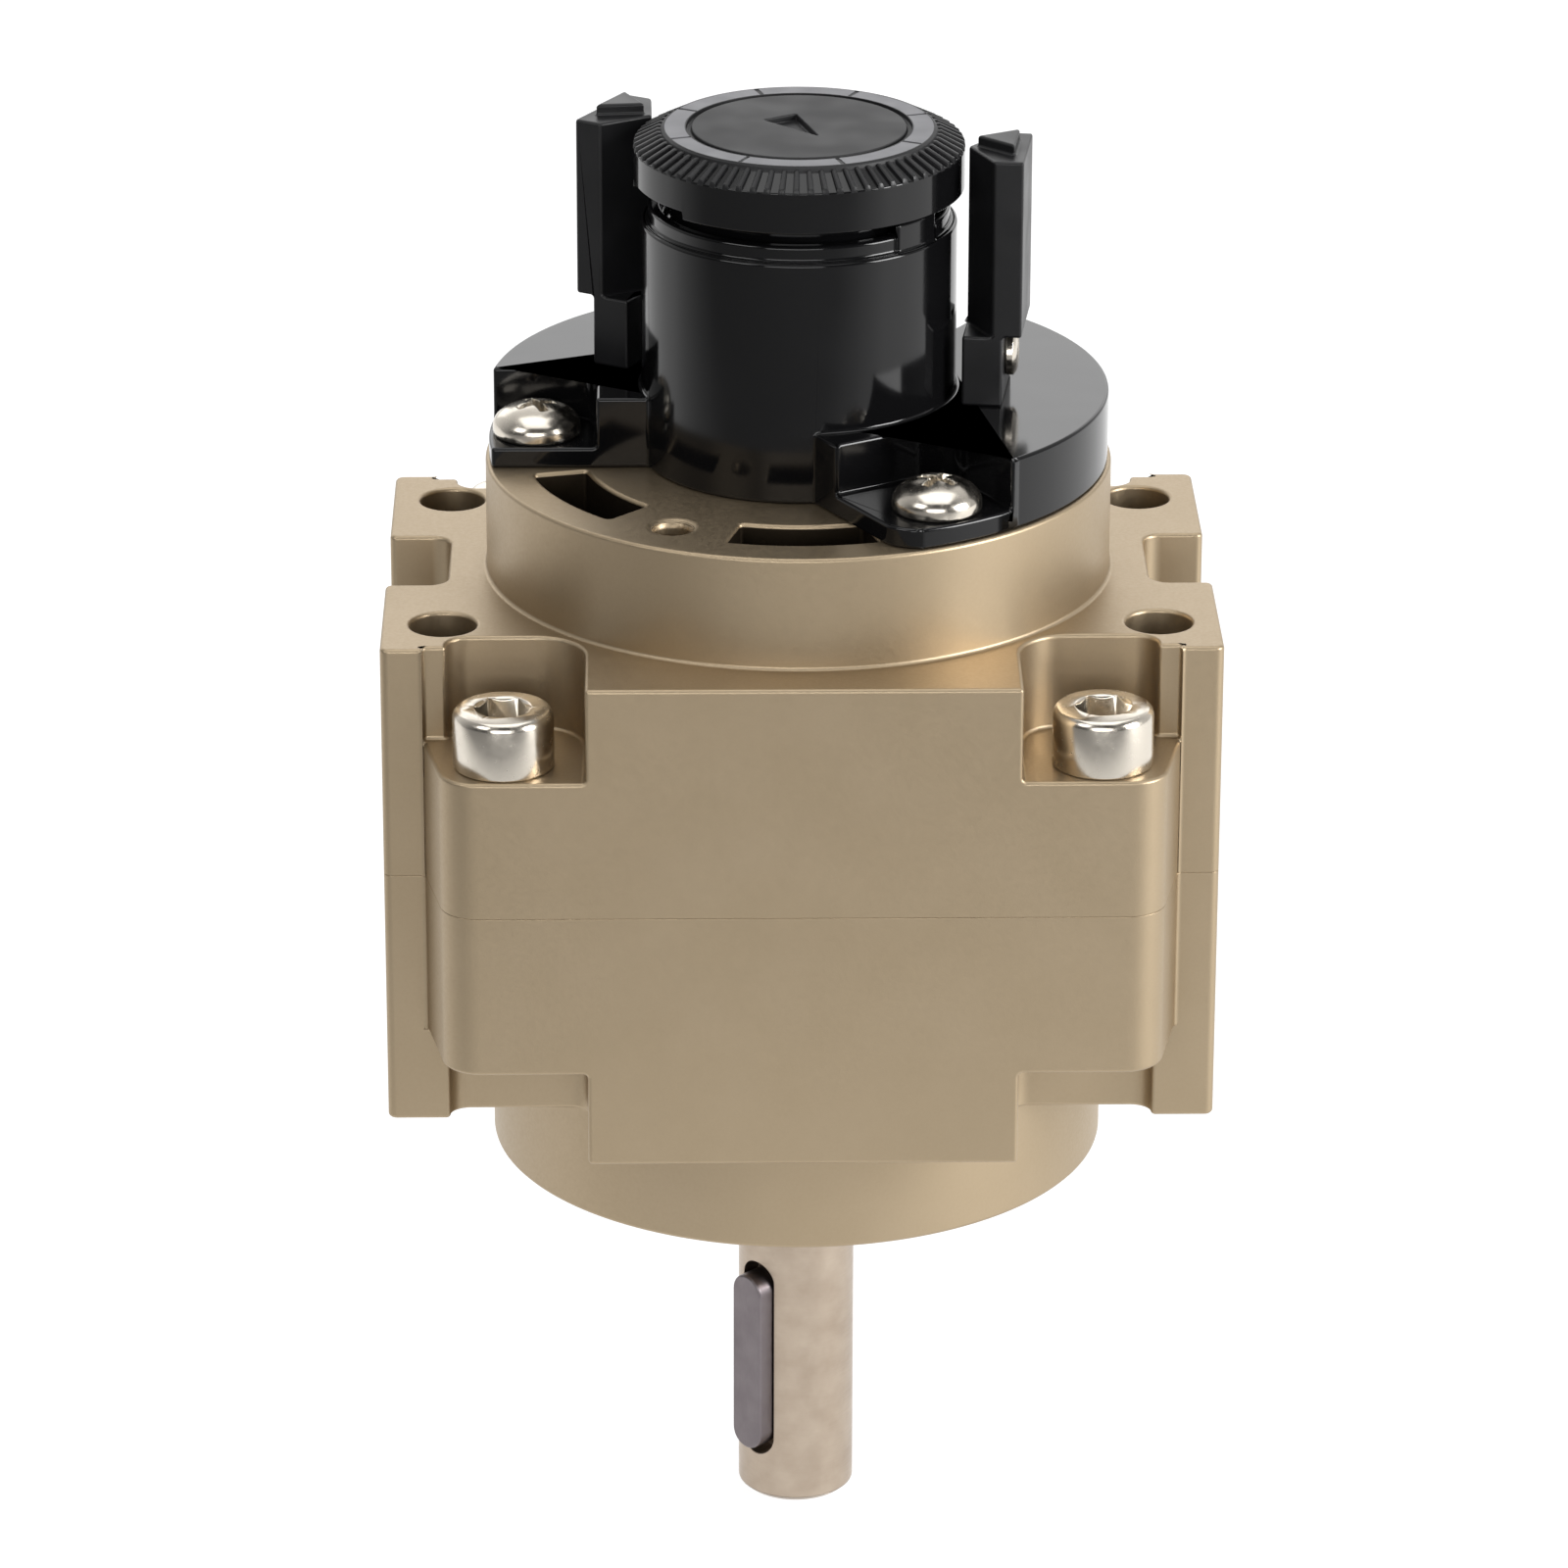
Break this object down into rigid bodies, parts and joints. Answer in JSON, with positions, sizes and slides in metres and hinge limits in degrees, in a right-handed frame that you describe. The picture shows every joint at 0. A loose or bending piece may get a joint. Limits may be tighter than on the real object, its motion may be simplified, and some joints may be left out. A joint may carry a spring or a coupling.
{
  "type": "pneumatic rotary actuator",
  "caption": "Vane-type pneumatic rotary actuator: split metal body with mounting ears and pilot spigots, keyed output shaft below, black dial housing with sliding switch blocks above.",
  "frame": {"origin": "on the output shaft's axis at the lower mounting face of the body block, where the lower pilot spigot starts", "axes": "+Z along the shaft axis from the keyed output end towards the dial, -Y out of the front panel, +Y out of the port panel, +X to the right seen from the front"},
  "size_m": [0.0826, 0.073, 0.1493],
  "materials": {
    "anodised_body": "satin champagne hard anodising",
    "stopper_aluminium": "machined",
    "seal_rubber": "matt black nitrile",
    "plated_screw": "bright plated",
    "hardened_pin": "ground",
    "shaft_steel": "turned, warm plating",
    "key_steel": "drawn bar",
    "bearing_steel": "ground and polished",
    "pressed_steel": "pressed sheet",
    "spring_steel": "blackened",
    "cover_plastic": "moulded, glossy black",
    "dial_plastic": "moulded, satin black",
    "switch_plastic": "moulded, satin black",
    "lever_plastic": "moulded",
    "magnet_ferrite": "sintered"
  },
  "bodies": {
    "housing": {"body_lower": "anodised_body", "lower_spigot": "anodised_body", "body_upper": "anodised_body", "upper_spigot": "anodised_body", "body_seal": "seal_rubber", "body_screws": "plated_screw", "body_dowels": "hardened_pin", "stopper": "stopper_aluminium", "stopper_seal": "seal_rubber", "stopper_pin": "hardened_pin", "lower_bearing_outer_race": "bearing_steel", "upper_bearing_outer_race": "bearing_steel", "lower_shaft_seal": "seal_rubber", "upper_shaft_seal": "seal_rubber", "lower_seal_washer": "pressed_steel", "upper_seal_washer": "pressed_steel", "lower_retaining_ring": "spring_steel", "upper_retaining_ring": "spring_steel", "switch_cover": "cover_plastic", "cover_housing": "cover_plastic", "cover_roof": "cover_plastic", "cover_screws": "plated_screw"},
    "rotor": {"vane_shaft": "shaft_steel", "vane_seal": "seal_rubber", "shaft_key": "key_steel", "lower_bearing_inner_race": "bearing_steel", "upper_bearing_inner_race": "bearing_steel", "magnet_lever": "lever_plastic", "lever_magnet": "magnet_ferrite", "lever_set_screw": "hardened_pin", "dial": "dial_plastic"},
    "lower_ball_set": {"lower_bearing_balls": "bearing_steel", "lower_bearing_cage": "pressed_steel"},
    "upper_ball_set": {"upper_bearing_balls": "bearing_steel", "upper_bearing_cage": "pressed_steel"},
    "left_switch": {"left_switch_block": "switch_plastic", "left_block_screw": "plated_screw"},
    "right_switch": {"right_switch_block": "switch_plastic", "right_block_screw": "plated_screw"}
  },
  "joints": [
    {"name": "rotor_turn", "type": "hinge", "parent": "housing", "child": "rotor", "pos_m": [0, 0, 0], "axis": [0, 0, 1], "range_deg": [-90, 180]},
    {"name": "lower_balls_roll", "type": "hinge", "parent": "housing", "child": "lower_ball_set", "pos_m": [0, 0, 0], "axis": [0, 0, 1], "range_deg": [-34.5, 69]},
    {"name": "upper_balls_roll", "type": "hinge", "parent": "housing", "child": "upper_ball_set", "pos_m": [0, 0, 0], "axis": [0, 0, 1], "range_deg": [-34.5, 69]},
    {"name": "left_switch_slide", "type": "hinge", "parent": "housing", "child": "left_switch", "pos_m": [0, 0, 0], "axis": [0, 0, 1], "range_deg": [-60, 27]},
    {"name": "right_switch_slide", "type": "hinge", "parent": "housing", "child": "right_switch", "pos_m": [0, 0, 0], "axis": [0, 0, 1], "range_deg": [-50, 60]}
  ],
  "couplings": [
    {"joint": "lower_balls_roll", "follows": "rotor_turn", "ratio": 0.381},
    {"joint": "upper_balls_roll", "follows": "rotor_turn", "ratio": 0.381}
  ]
}
